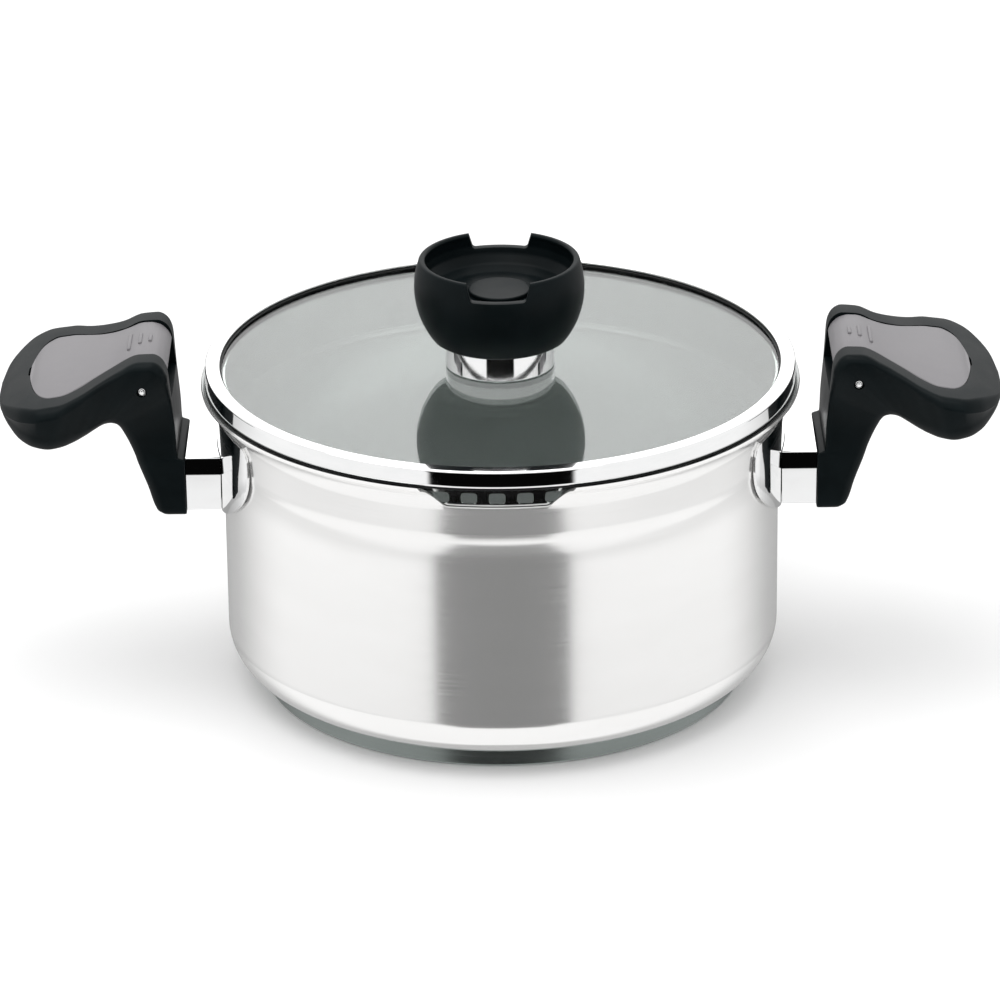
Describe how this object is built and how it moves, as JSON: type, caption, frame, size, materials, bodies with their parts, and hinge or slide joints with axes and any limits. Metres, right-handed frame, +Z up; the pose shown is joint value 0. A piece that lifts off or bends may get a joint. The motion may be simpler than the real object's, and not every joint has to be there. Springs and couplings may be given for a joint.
{
  "type": "casserole with glass strainer lid",
  "caption": "Round steel casserole with a thick flat base, pouring lips, a glass strainer lid with a spoon-rest knob, and side handles with latch levers.",
  "frame": {"origin": "centre of the flat underside of the base, on the surface that the pot stands on", "axes": "+Z up along the pot's axis; +X towards the right-hand handle; -Y towards the front pouring lip"},
  "size_m": [0.4344, 0.256, 0.191],
  "materials": {
    "steel": "brushed and polished stainless steel",
    "chrome": "mirror polished stainless steel",
    "base_steel": "satin stainless steel",
    "spring_steel": "drawn spring wire",
    "aluminium": "as cast",
    "glass": "clear tempered glass",
    "silicone": "matte silicone",
    "black_plastic": "soft-touch matte black",
    "grey_plastic": "satin warm grey"
  },
  "bodies": {
    "pot": {"pot_body": "steel", "base_core": "aluminium", "base_cap": "base_steel", "left_bracket_foot": "chrome", "left_bracket_box": "chrome", "left_handle_body": "black_plastic", "left_lever_pin": "steel", "left_lever_spring": "spring_steel", "right_bracket_foot": "chrome", "right_bracket_box": "chrome", "right_handle_body": "black_plastic", "right_lever_pin": "steel", "right_lever_spring": "spring_steel"},
    "seal": {"rim_seal": "silicone"},
    "lid": {"lid_ring": "steel", "glass_seal": "silicone", "lid_glass": "glass", "strainer_skirt": "steel", "knob_bowl": "black_plastic", "knob_cap": "black_plastic", "knob_collar": "steel", "knob_spacer": "silicone", "knob_bolt": "steel", "lid_washer": "silicone", "clamp_washer": "steel", "knob_nut": "steel"},
    "left_lever": {"left_release_lever": "grey_plastic", "left_latch_hook": "steel"},
    "right_lever": {"right_release_lever": "grey_plastic", "right_latch_hook": "steel"}
  },
  "joints": [
    {"name": "lid_lift", "type": "slide", "parent": "pot", "child": "seal", "axis": [0, 0, 1], "range_m": [0, 0.12]},
    {"name": "lid_turn", "type": "hinge", "parent": "seal", "child": "lid", "pos_m": [0, 0, 0.1373], "axis": [0, 0, 1], "continuous": true},
    {"name": "left_lever_turn", "type": "hinge", "parent": "pot", "child": "left_lever", "pos_m": [-0.1538, 0, 0.1428], "axis": [0, 1, 0], "range_deg": [0, 3], "stiffness_Nm_per_rad": 0.6, "springref_deg": -6.88, "deforming": ["left_lever_spring"]},
    {"name": "right_lever_turn", "type": "hinge", "parent": "pot", "child": "right_lever", "pos_m": [0.1538, 0, 0.1428], "axis": [0, -1, 0], "range_deg": [0, 3], "stiffness_Nm_per_rad": 0.6, "springref_deg": -6.88, "deforming": ["right_lever_spring"]}
  ]
}
